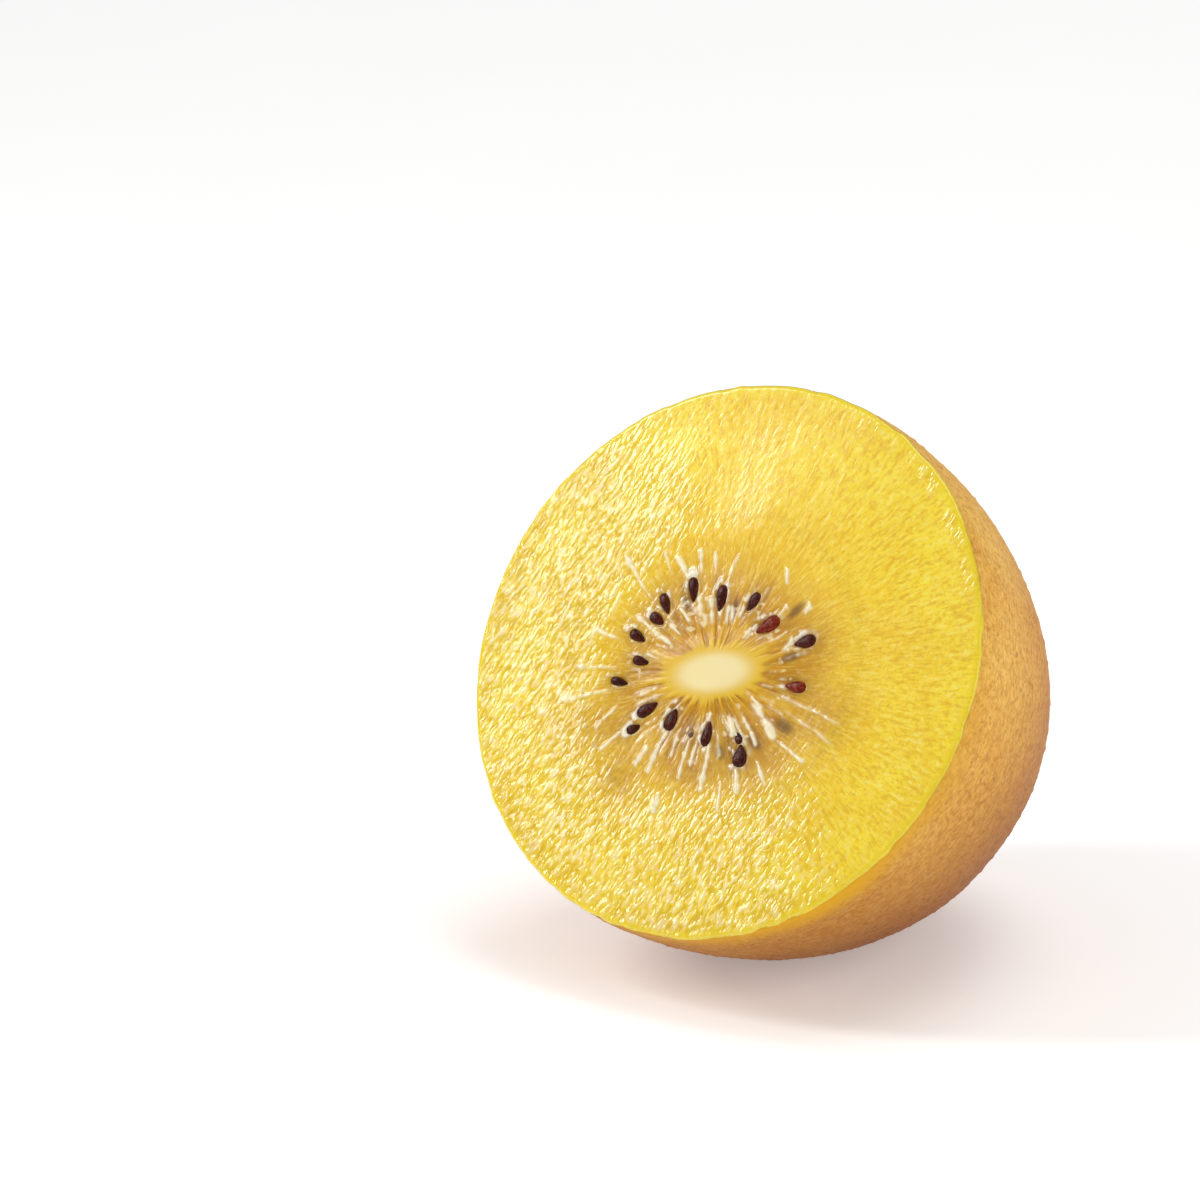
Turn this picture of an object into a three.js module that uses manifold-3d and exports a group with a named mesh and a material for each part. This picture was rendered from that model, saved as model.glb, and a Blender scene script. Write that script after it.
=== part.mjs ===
// Half of a golden kiwi fruit, cut across and lying on its skin, with the cut face to the front and tipped
// up. The fruit grew as one piece, so it is one solid: the skin's pimples and stem end, and the cut face's
// core, rays and seeds, are all relief on it. Its own frame has +Z along the fruit's axis, out of the cut
// face, +Y up the cut face, and its origin at the middle of the whole fruit.

import * as THREE from "three";
import { mergeVertices } from "three/addons/utils/BufferGeometryUtils.js";
import Module from "manifold-3d";

const wasm = await Module();
wasm.setup();

// Driving dimensions, in millimetres and degrees.
const FRUIT_RADIUS = 26;
const FRUIT_HALF_LENGTH = 38;
const CUT_PAST_MIDDLE = 1.9;
const REST_TILT = 30;
const REST_FLAT_DEPTH = 0.4;

// The pale core: an oval that lies a little off the fruit's axis. Beyond it the pulp's rings grow round.
const CORE = { x: -0.6, y: -1.4, halfLength: 5.2, halfWidth: 2.5, turn: 14, rise: 0.6, roundAt: 12 };
const CORE_EDGE = { inside: 0.6, outside: 0.2 };

// The soft ring round the core that holds the seeds, the pale rays that cross it, and the rounded rim.
const SEED_RING = { inner: 7, outer: 11.5, sag: 0.3, fade: 2 };
const RAYS = { count: 28, rise: 0.5, inner: 7, full: 8, reach: 14, fade: 4, unevenness: 2.2, waves: 5 };
const RIM_DROP = { width: 1.3, depth: 0.25 };

// Each seed's clock angle round the core, its distance from the core's centre and its length.
const SEEDS = [
  [2, 8.6, 2.2], [28, 9.4, 2.3], [52, 6.6, 2.5], [75, 7.3, 2.2], [102, 7.0, 2.5], [123, 8.5, 2.4],
  [143, 8.9, 2.2], [153, 8.2, 1.9], [168, 9.2, 1.9], [182, 7.9, 1.9], [195, 9.8, 2.0], [218, 7.3, 2.2],
  [225, 9.6, 1.7], [239, 5.8, 2.2], [281, 5.7, 2.3], [306, 8.7, 2.3],
];
// Seeds that lie deeper, under a film of pulp.
const SUNK_SEEDS = [
  [21, 7.4, 1.9], [46, 9.5, 1.9], [88, 6.2, 1.8], [131, 6.6, 1.8], [293, 7.6, 1.8], [338, 9.2, 1.9],
];
const SEED = { halfWidth: 0.56, halfThickness: 0.42, taper: 0.28, lift: 0.08, sunkLift: -0.16 };
const SEED_MESH = { around: 7, along: 5 };

// The stem end: a corky collar round a dish, with the stalk's stump in its middle and creases round it.
const STEM = { collar: 7.4, collarRise: 0.6, dish: 4.1, dishDepth: 0.95, stumpRise: 0.35, spread: 1.7 };
const STEM_LOBES = { count: 5, share: 0.22 };
const STEM_BLUNTING = { depth: 1.4, spread: 8 };
const STEM_CREASES = { count: 28, rise: 0.07, at: 10.5, spread: 3.2 };

// The skin's pimples: a share of the mesh's corners, raised. They keep clear of the rim and the rest spot.
const PIMPLES = { rise: 0.28, share: 0.2, seed: 29, rimGap: 2.5, restGap: 8 };

// The sizes of the mesh.
const SECTORS = 84;
const SKIN_RINGS = 24;
const STEM_RINGS = [0.9, 1.7, 2.8, 4.1, 5.3, 6.4, 7.4, 8.6, 10.2];
const FACE_RINGS = [25.4, 24.2, 22, 19.5, 17, 14.8, 12.8, 11, 9.4, 8, 6.9, 5.9, 5.3, 4.7, 3.9, 2];
const FLOOR_BLOCK = 80;
const WELD = 1e-4;

// The steps of the random numbers, and the flesh's look.
const RANDOM = { factor: 1664525, shift: 1013904223, span: 2 ** 32 };
const GOLDEN = { color: 0xe9c53f, roughness: 0.45, metalness: 0 };

const toRadians = THREE.MathUtils.degToRad;
const bell = (value, middle, spread) => Math.exp(-(((value - middle) / spread) ** 2));

// The whole fruit's outline: its radius at a height on its axis, and the stem side's height at a radius.
const radiusAt = (z) => FRUIT_RADIUS * Math.sqrt(1 - (z / FRUIT_HALF_LENGTH) ** 2);
const stemHeightAt = (r) => -FRUIT_HALF_LENGTH * Math.sqrt(1 - (r / FRUIT_RADIUS) ** 2);

// A repeatable random number from 0 to 1 at each call.
function seededRandom(seed) {
  let state = seed;
  return () => {
    state = (Math.imul(state, RANDOM.factor) + RANDOM.shift) >>> 0;
    return state / RANDOM.span;
  };
}

// The outline from the stem's tip, up the skin to the rim and across the cut face to the axis.
function fruitOutline() {
  const stem = STEM_RINGS.map((r) => new THREE.Vector2(r, stemHeightAt(r)));
  const last = STEM_RINGS[STEM_RINGS.length - 1];
  const from = Math.acos(last / FRUIT_RADIUS);
  const to = -Math.asin(CUT_PAST_MIDDLE / FRUIT_HALF_LENGTH);
  const skin = [];
  for (let k = 1; k <= SKIN_RINGS; k++) {
    const angle = THREE.MathUtils.lerp(from, to, k / SKIN_RINGS);
    skin.push(new THREE.Vector2(FRUIT_RADIUS * Math.cos(angle), -FRUIT_HALF_LENGTH * Math.sin(angle)));
  }
  const face = FACE_RINGS.map((r) => new THREE.Vector2(r, CUT_PAST_MIDDLE));
  return [
    new THREE.Vector2(0, -FRUIT_HALF_LENGTH),
    ...stem,
    ...skin,
    ...face,
    new THREE.Vector2(0, CUT_PAST_MIDDLE),
  ];
}

// How far the pulp's rings are squashed at a radius: to the core's oval at the core, not at all outside.
function squashAt(radius) {
  const share = THREE.MathUtils.smoothstep(radius, CORE.halfLength, CORE.roundAt);
  return THREE.MathUtils.lerp(CORE.halfWidth / CORE.halfLength, 1, share);
}

// A corner of the cut face, from the radius and clock angle of its place before the rings are squashed and
// shifted towards the core: a raised core, a sagging seed ring with rays across it, and a rounded rim.
function facePoint(radius, clock) {
  const { smoothstep } = THREE.MathUtils;
  const turn = toRadians(CORE.turn);
  const point = new THREE.Vector3(radius * Math.cos(clock - turn), radius * Math.sin(clock - turn), 0);
  point.y *= squashAt(radius);
  point.applyAxisAngle(new THREE.Vector3(0, 0, 1), turn);
  const inward = 1 - radius / FRUIT_RADIUS;
  point.x += CORE.x * inward;
  point.y += CORE.y * inward;
  const coreTop = CORE.halfLength - CORE_EDGE.inside;
  const coreFoot = CORE.halfLength + CORE_EDGE.outside;
  const core = CORE.rise * (1 - smoothstep(radius, coreTop, coreFoot));
  const ring =
    smoothstep(radius, CORE.halfLength, SEED_RING.inner) *
    (1 - smoothstep(radius, SEED_RING.outer, SEED_RING.outer + SEED_RING.fade));
  const reach = RAYS.reach + RAYS.unevenness * Math.sin(RAYS.waves * clock);
  const raysHere =
    smoothstep(radius, RAYS.inner, RAYS.full) * (1 - smoothstep(radius, reach - RAYS.fade, reach));
  const ray = Math.max(0, Math.cos(RAYS.count * clock)) ** 2;
  const rim = smoothstep(radius, FRUIT_RADIUS - RIM_DROP.width, FRUIT_RADIUS);
  const relief = core - SEED_RING.sag * ring + RAYS.rise * ray * raysHere - RIM_DROP.depth * rim;
  point.z = CUT_PAST_MIDDLE + relief;
  return point;
}

// The skin's height outside the plain outline near the stem: collar, dish, stump, creases and a blunted tip.
function stemRelief(r, clock) {
  const lobes = 1 + STEM_LOBES.share * Math.cos(STEM_LOBES.count * clock);
  const collar = STEM.collarRise * lobes * bell(r, STEM.collar, STEM.spread);
  const dish = STEM.dishDepth * bell(r, STEM.dish, STEM.spread);
  const stump = STEM.stumpRise * bell(r, 0, STEM.spread);
  const crease = STEM_CREASES.rise * bell(r, STEM_CREASES.at, STEM_CREASES.spread);
  const blunting = STEM_BLUNTING.depth * bell(r, 0, STEM_BLUNTING.spread);
  return collar - dish + stump + crease * Math.cos(STEM_CREASES.count * clock) - blunting;
}

// A corner of the skin, raised straight out from its place on the plain outline.
function skinPoint(plain, clock, pimple) {
  const outward = new THREE.Vector3(
    plain.x / FRUIT_RADIUS ** 2,
    plain.y / FRUIT_RADIUS ** 2,
    plain.z / FRUIT_HALF_LENGTH ** 2,
  ).normalize();
  const stem = plain.z < -FRUIT_HALF_LENGTH / 2 ? stemRelief(Math.hypot(plain.x, plain.y), clock) : 0;
  return plain.clone().addScaledVector(outward, stem + (pimple ? PIMPLES.rise : 0));
}

// The body of the fruit: the outline turned round the axis, with the relief of the face and the skin on it.
function bodyGeometry() {
  const outline = fruitOutline();
  const geometry = new THREE.LatheGeometry(outline, SECTORS);
  geometry.rotateX(Math.PI / 2);
  const firstPimple = STEM_RINGS.length + 1;
  const rimRing = STEM_RINGS.length + SKIN_RINGS;
  const { contact } = restPlacement();
  const random = seededRandom(PIMPLES.seed);
  const pimples = Array.from({ length: SECTORS * outline.length }, () => random() < PIMPLES.share);
  const place = geometry.attributes.position;
  for (let i = 0; i < place.count; i++) {
    const ring = i % outline.length;
    const sector = Math.floor(i / outline.length) % SECTORS;
    const clock = (2 * Math.PI * sector) / SECTORS;
    const { x: radius, y: height } = outline[ring];
    const plain = new THREE.Vector3(radius * Math.cos(clock), radius * Math.sin(clock), height);
    const clear =
      ring >= firstPimple &&
      height < CUT_PAST_MIDDLE - PIMPLES.rimGap &&
      plain.distanceTo(contact) > PIMPLES.restGap;
    const pimple = clear && pimples[ring * SECTORS + sector];
    const onFace = ring > rimRing;
    const point = onFace ? facePoint(radius, clock) : skinPoint(plain, clock, pimple);
    place.setXYZ(i, point.x, point.y, point.z);
  }
  return geometry;
}

// One seed, a flat drop that lies in the cut face with its point towards the core.
function seedGeometry([clock, distance, length], lift) {
  const geometry = new THREE.SphereGeometry(1, SEED_MESH.around, SEED_MESH.along);
  geometry.rotateZ(Math.PI / 2);
  const place = geometry.attributes.position;
  for (let i = 0; i < place.count; i++) {
    const along = place.getX(i);
    const slim = 1 + SEED.taper * along;
    place.setXYZ(
      i,
      (along * length) / 2,
      place.getY(i) * SEED.halfWidth * slim,
      place.getZ(i) * SEED.halfThickness * slim,
    );
  }
  const x = CORE.x + distance * Math.cos(toRadians(clock));
  const y = CORE.y + distance * Math.sin(toRadians(clock));
  geometry.rotateZ(toRadians(clock));
  geometry.translate(x, y, CUT_PAST_MIDDLE - SEED_RING.sag + lift);
  return geometry;
}

// A closed geometry as a solid that can be joined and cut.
function toSolid(geometry) {
  const bare = geometry.clone().deleteAttribute("normal").deleteAttribute("uv");
  const merged = mergeVertices(bare, WELD);
  return new wasm.Manifold(
    new wasm.Mesh({
      numProp: 3,
      vertProperties: new Float32Array(merged.attributes.position.array),
      triVerts: new Uint32Array(merged.index.array),
    }),
  );
}

// The geometry of a joined and cut solid.
function toGeometry(solid) {
  const mesh = solid.getMesh();
  const geometry = new THREE.BufferGeometry();
  geometry.setAttribute("position", new THREE.BufferAttribute(mesh.vertProperties, 3));
  geometry.setIndex(new THREE.BufferAttribute(mesh.triVerts, 1));
  geometry.computeVertexNormals();
  return geometry;
}

// The fruit's lowest spot, and the turn and place that set it down over the origin, just into the floor.
function restPlacement() {
  const tilt = toRadians(REST_TILT);
  const slope = Math.tan(tilt) / FRUIT_RADIUS;
  const z = (-slope * FRUIT_HALF_LENGTH ** 2) / Math.hypot(1, slope * FRUIT_HALF_LENGTH);
  const contact = new THREE.Vector3(0, -radiusAt(z), z);
  const turn = new THREE.Euler(Math.PI / 2 - tilt, 0, 0);
  const lowest = contact.clone().applyEuler(turn);
  return { contact, turn, position: new THREE.Vector3(0, -lowest.y, -lowest.z - REST_FLAT_DEPTH) };
}

// The half fruit at rest, with its flat spot cut where it touches the floor.
function kiwiHalf() {
  const { turn, position } = restPlacement();
  let solid = toSolid(bodyGeometry());
  for (const seed of SEEDS) solid = solid.add(toSolid(seedGeometry(seed, SEED.lift)));
  for (const seed of SUNK_SEEDS) solid = solid.add(toSolid(seedGeometry(seed, SEED.sunkLift)));
  const placement = new THREE.Matrix4().makeRotationFromEuler(turn).setPosition(position);
  const floor = new THREE.BoxGeometry(FLOOR_BLOCK, FLOOR_BLOCK, FLOOR_BLOCK)
    .translate(0, 0, -FLOOR_BLOCK / 2)
    .applyMatrix4(placement.invert());
  solid = solid.subtract(toSolid(floor));
  const mesh = new THREE.Mesh(toGeometry(solid), new THREE.MeshStandardMaterial(GOLDEN));
  mesh.name = "kiwi_half";
  mesh.rotation.copy(turn);
  mesh.position.copy(position);
  return mesh;
}

const kiwi = new THREE.Group();
kiwi.add(kiwiHalf());

export default kiwi;
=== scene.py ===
"""Half a golden kiwi fruit at rest on a pale floor, with its wet yellow cut face tipped up to the camera.

The fruit's own frame has +z along its axis, out of the cut face, +y up the cut face, and its origin at the
middle of the whole fruit. place() turns it into the row frame. Lengths in the making of the meshes are in
millimetres, and are scaled to metres as a mesh is made.
"""

import math

import bpy
import numpy as np
from mathutils import Matrix, Vector
from mathutils.kdtree import KDTree


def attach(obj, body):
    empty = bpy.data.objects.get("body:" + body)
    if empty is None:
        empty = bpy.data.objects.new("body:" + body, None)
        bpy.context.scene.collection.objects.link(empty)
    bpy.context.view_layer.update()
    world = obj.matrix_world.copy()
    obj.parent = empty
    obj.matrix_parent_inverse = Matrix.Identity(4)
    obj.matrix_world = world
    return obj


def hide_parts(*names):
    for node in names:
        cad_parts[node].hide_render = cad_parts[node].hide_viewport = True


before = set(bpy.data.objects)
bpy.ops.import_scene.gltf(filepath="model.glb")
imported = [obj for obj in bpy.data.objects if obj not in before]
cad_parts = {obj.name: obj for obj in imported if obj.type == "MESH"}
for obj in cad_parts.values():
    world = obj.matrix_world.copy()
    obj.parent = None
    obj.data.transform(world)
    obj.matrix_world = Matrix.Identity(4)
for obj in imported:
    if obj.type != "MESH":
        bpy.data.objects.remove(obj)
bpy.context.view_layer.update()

MM = 0.001
RNG = np.random.default_rng(29)

# The same driving dimensions as the solid, in millimetres and degrees.
FRUIT_RADIUS = 26.0
FRUIT_HALF_LENGTH = 38.0
CUT = 1.9
REST_TILT = 30.0
REST_FLAT_DEPTH = 0.4
CORE = {"x": -0.6, "y": -1.4, "half_length": 5.2, "half_width": 2.5, "turn": 14.0}

# Clock angle round the core, distance from its centre, length, half width, sideways turn, lift.
DARK_SEEDS = [
    (28, 9.4, 2.3, 0.62, -4, 0.10),
    (75, 7.3, 2.2, 0.55, -8, 0.06),
    (102, 7.0, 2.6, 0.56, -6, 0.12),
    (123, 8.5, 2.5, 0.52, -16, 0.08),
    (143, 8.9, 2.2, 0.50, -20, 0.05),
    (153, 8.4, 1.9, 0.55, 6, -0.02),
    (168, 9.2, 1.9, 0.50, -8, 0.06),
    (182, 7.9, 1.8, 0.46, -4, 0.06),
    (195, 9.85, 1.9, 0.42, -16, 0.04),
    (218, 7.3, 2.3, 0.58, 4, 0.12),
    (224.5, 9.3, 1.5, 0.46, -8, 0.02),
    (239, 5.8, 2.2, 0.60, 22, 0.10),
    (281, 5.7, 2.4, 0.50, -8, 0.12),
    (306, 8.6, 2.1, 0.72, -24, 0.10),
    (309, 6.9, 1.3, 0.42, 0, -0.04),
]
RED_SEEDS = [
    (1.5, 8.6, 2.2, 0.55, 2, 0.08),
    (52, 6.6, 2.7, 0.68, -12, 0.14),
]
SUNK_SEEDS = [
    (21, 7.9, 1.9, 0.50, 8, -0.34),
    (47, 9.6, 1.9, 0.42, 6, -0.30),
    (88, 6.2, 1.7, 0.45, 4, -0.30),
    (131, 7.6, 1.6, 0.48, 0, -0.22),
    (293, 7.6, 1.5, 0.55, 10, -0.22),
    (338, 9.4, 1.9, 0.60, 0, -0.42),
    (264, 5.9, 0.9, 0.35, 0, -0.20),
    (318, 8.2, 1.7, 0.50, 10, -0.44),
]
# A seed with less lift than the first of these is sunk under the pulp, and one with no more than the second
# is so deep that only its shade shows.
SUNK_LIFT = -0.2
DEEP_LIFT = -0.3
# How far the middle of a seed with no lift lies under the cut, and half a seed's thickness.
SEED_DEPTH = 0.3
SEED_HALF_THICKNESS = 0.42

# Heights and depths of the forms of the cut face.
FACE = {
    "core": 0.06,
    "ring": 0.14,
    "comb": 0.045,
    "streak": 0.010,
    "grain": 0.012,
    "swelling": 0.045,
    "sheen": 0.30,
    "rounding": 0.28,
    "ragged": 0.13,
    "tuck": 0.50,
    "pit": 0.10,
    "gel": 0.19,
}
# Heights of a strand and of gel at which their colour is full; the gel's white is a painted highlight.
FULL_STRAND = 0.085
FULL_GEL = 0.08
# Where the wet sheen swells, and where the pulp at the bottom is drier: middle x and y, spread in x and y.
SHEEN = (4, 13, 10, 7.5)
DRY_BOTTOM = (-1, -17, 9, 7)
# Darker patches where the flesh is clear: clock angle, distance from the core's centre and spread.
CLEAR_PATCHES = [
    (318, 9.5, 4.4),
    (350, 12.0, 3.6),
    (20, 9.5, 3.8),
    (270, 8.0, 3.2),
    (215, 12.2, 3.4),
    (238, 13.0, 3.0),
]
# Patches of painted shade where the seeds lie deep: clock angle, distance, spread and strength.
DUSKY_PATCHES = [
    (298, 7.0, 2.7, 0.42),
    (266, 6.6, 1.9, 0.26),
    (38, 8.0, 2.2, 0.16),
    (120, 6.6, 1.8, 0.14),
]
# How far the wet dashes, beads with painted highlights on their crests, lean from upright, clockwise, in
# degrees.
DASH_LEAN = 17.0

# The sheet of the cut face: its sectors, and where each run of rings starts and ends, with its number of
# rings. The first two runs make the heart, and the rest the pulp.
FACE_SECTORS = 760
FACE_RUNS = [(0.05, 3.6, 18), (3.6, 14.2, 98), (14.2, 24.8, 66)]
RIM_RINGS = 14
HEART_RINGS = 18 + 98
FINE_STRANDS = 50

# The sheet of the skin: its sectors, and the angles of its rings from the fruit's middle to its far end, as
# where a run ends or starts and its number of rings.
SKIN_SECTORS = 620
SKIN_SIDE = (1.15, 118)
SKIN_END = (1.16, 1.5700, 34)
SKIN_TOP = CUT - 0.26
# The skin's thin cut edge, rolled in over the pulp: how far back and how far up each ring of it lies.
ROLLED_EDGE = [(0.35, -0.30), (0.20, -0.02), (0.06, 0.02)]
LENTICELS = 2600
LENTICEL_HEIGHT = 0.10

# The view: degrees, millimetres, and where the middle of the cut face lies in the square picture, in
# pixels.
VIEW_AZIMUTH = 33.0
VIEW_ELEVATION = 17.5
VIEW_DISTANCE = 600.0
PICTURE_WIDTH = 1200
PICTURE_FOCAL_LENGTH = 6618
PICTURE_MIDDLE = (723.7, 658.2)
SENSOR_WIDTH = 36.0

# The lights: azimuth and elevation in degrees, distance and size in metres, power in watts, and colour.
WARM_WHITE = (1.0, 0.98, 0.95)
LIGHTS = {
    "key": (-57, 36, 0.30, (0.065, 0.15), 0.40, WARM_WHITE),
    "top": (160, 72, 2.0, (1.2, 1.2), 12.0, (1.0, 1.0, 1.0)),
    "fill": (80, 28, 1.8, (1.0, 1.2), 7.6, WARM_WHITE),
}
WORLD_STRENGTH = 0.38
FLOOR_GLOW = 0.27
FLOOR_REACH = 4.0


def smooth(value, low, high):
    """0 below low, 1 above high and a smooth step between them."""
    t = np.clip((value - low) / (high - low), 0.0, 1.0)
    return t * t * (3 - 2 * t)


def bell(value, middle, spread):
    """1 at the middle, and a smooth fall to 0 on both sides of it."""
    return np.exp(-(((value - middle) / spread) ** 2))


def wrapped(angle):
    """An angle in radians, brought between minus and plus half a turn."""
    return (angle + math.pi) % (2 * math.pi) - math.pi


def polar(distance, degrees):
    """x and y of a place at a distance and a clock angle."""
    return distance * math.cos(math.radians(degrees)), distance * math.sin(math.radians(degrees))


class Waves:
    """Smooth seeded noise in two or three dimensions, as a lattice of random values that are blended."""

    def __init__(self, seed, size=64):
        self.size = size
        self.values = np.random.default_rng(seed).random((size, size, size)).astype(np.float32) * 2 - 1

    def __call__(self, x, y, z=0.0):
        x, y, z = np.broadcast_arrays(x, y, z)
        cell = [np.floor(c).astype(int) for c in (x, y, z)]
        part = [c - f for c, f in zip((x, y, z), cell)]
        part = [p * p * (3 - 2 * p) for p in part]
        total = 0.0
        for dx in (0, 1):
            for dy in (0, 1):
                for dz in (0, 1):
                    weight = (
                        (part[0] if dx else 1 - part[0])
                        * (part[1] if dy else 1 - part[1])
                        * (part[2] if dz else 1 - part[2])
                    )
                    value = self.values[
                        (cell[0] + dx) % self.size, (cell[1] + dy) % self.size, (cell[2] + dz) % self.size
                    ]
                    total = total + weight * value
        return total


WAVES = Waves(7)


def placement():
    """The turn and the shift from the fruit's own frame to the row frame, in millimetres."""
    tilt = math.radians(REST_TILT)
    slope = math.tan(tilt) / FRUIT_RADIUS
    z = -slope * FRUIT_HALF_LENGTH**2 / math.hypot(1, slope * FRUIT_HALF_LENGTH)
    radius = FRUIT_RADIUS * math.sqrt(1 - (z / FRUIT_HALF_LENGTH) ** 2)
    turn = np.array(Matrix.Rotation(math.pi / 2 - tilt, 3, "X"))
    lowest = turn @ np.array([0, -radius, z])
    return turn, np.array([0, -lowest[1], -lowest[2] - REST_FLAT_DEPTH])


TURN, SHIFT = placement()


def place(points):
    """Points of the fruit's own frame, in millimetres, as points of the row frame, in metres."""
    placed = points @ TURN.T + SHIFT
    placed[:, 2] = np.maximum(placed[:, 2], 0.0)
    return placed * MM


def mesh_piece(name, points, faces, masks, material, normals=None):
    """A shown piece of the fruit, which rides with it and stands for its solid."""
    mesh = bpy.data.meshes.new(name)
    mesh.from_pydata(place(points).tolist(), [], faces)
    mesh.polygons.foreach_set("use_smooth", np.ones(len(faces), bool))
    mesh.update()
    for key, values in masks.items():
        if values.ndim == 2:
            attribute = mesh.attributes.new(key, "FLOAT_VECTOR", "POINT")
            attribute.data.foreach_set("vector", values.astype(np.float32).ravel())
        else:
            attribute = mesh.attributes.new(key, "FLOAT", "POINT")
            attribute.data.foreach_set("value", values.astype(np.float32))
    if normals is not None:
        mesh.normals_split_custom_set_from_vertices((normals @ TURN.T).tolist())
    mesh.materials.append(material)
    piece = bpy.data.objects.new(name, mesh)
    bpy.context.scene.collection.objects.link(piece)
    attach(piece, "root")
    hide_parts("kiwi_half")
    return piece


def ring_faces(rings, sectors, turned=False):
    """Quads between rings of corners that follow each other."""
    ring, sector = np.meshgrid(np.arange(rings - 1), np.arange(sectors), indexing="ij")
    after = (sector + 1) % sectors
    here, there = ring * sectors, (ring + 1) * sectors
    quads = [here + sector, there + sector, there + after, here + after]
    if turned:
        quads = [quads[0], quads[3], quads[2], quads[1]]
    return np.stack(quads, axis=-1).reshape(-1, 4)


def grid_normals(points, rings, sectors):
    """Outward normals of a sheet of rings of corners."""
    grid = points.reshape(rings, sectors, 3)
    outwards = np.gradient(grid, axis=0)
    onwards = (np.roll(grid, -1, axis=1) - np.roll(grid, 1, axis=1)) / 2
    normals = np.cross(outwards, onwards)
    normals /= np.maximum(np.linalg.norm(normals, axis=2, keepdims=True), 1e-9)
    return normals.reshape(-1, 3)


# The cut face.


def core_share(x, y):
    """How far a place is from the core's centre, as a share of its oval."""
    turn = math.radians(CORE["turn"])
    along = (x - CORE["x"]) * math.cos(turn) + (y - CORE["y"]) * math.sin(turn)
    across = (y - CORE["y"]) * math.cos(turn) - (x - CORE["x"]) * math.sin(turn)
    return np.hypot(along / CORE["half_length"], across / CORE["half_width"])


class Face:
    """The corners of the cut face, ring by ring outwards, and where each of them lies about the core."""

    def __init__(self):
        runs = [np.linspace(start, end, count, endpoint=False) for start, end, count in FACE_RUNS]
        rim = np.linspace(FACE_RUNS[-1][1], FRUIT_RADIUS + 0.02, RIM_RINGS)
        self.radii = np.concatenate([*runs, rim, [FRUIT_RADIUS - 0.2]])
        around = 2 * np.pi * np.arange(FACE_SECTORS) / FACE_SECTORS
        self.radius, turn = [g.ravel() for g in np.meshgrid(self.radii, around, indexing="ij")]
        ragged = FACE["ragged"] * WAVES(20 * np.cos(turn) + 40, 20 * np.sin(turn) + 40, 0.5)
        reach = self.radius + ragged * smooth(self.radius, FRUIT_RADIUS - 1.2, FRUIT_RADIUS)
        inward = 1 - np.minimum(self.radius / FRUIT_RADIUS, 1)
        self.x = reach * np.cos(turn) + CORE["x"] * inward
        self.y = reach * np.sin(turn) + CORE["y"] * inward
        self.share = core_share(self.x, self.y)
        self.far = np.hypot(self.x - CORE["x"], self.y - CORE["y"])
        self.clock = np.arctan2(self.y - CORE["y"], self.x - CORE["x"])

    def streaks(self, around, along, offset):
        """Noise in streaks that run out from the core: steps per radian round it, and per millimetre."""
        x = around * np.cos(self.clock) + 97.3
        y = around * np.sin(self.clock) + 31.9
        return WAVES(x, y, self.far * along + offset)

    def patch(self, clock, distance, spread):
        """1 at a place given about the core, and a smooth fall to 0 round it."""
        x, y = polar(distance, clock)
        gap = np.hypot(self.x - CORE["x"] - x, self.y - CORE["y"] - y) / spread
        return np.exp(-(gap**2))

    def mound(self, x, y, spread_x, spread_y):
        """1 at a place given by x and y, and a smooth fall to 0 round it."""
        return bell(np.hypot((self.x - x) / spread_x, (self.y - y) / spread_y), 0, 1)


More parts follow.
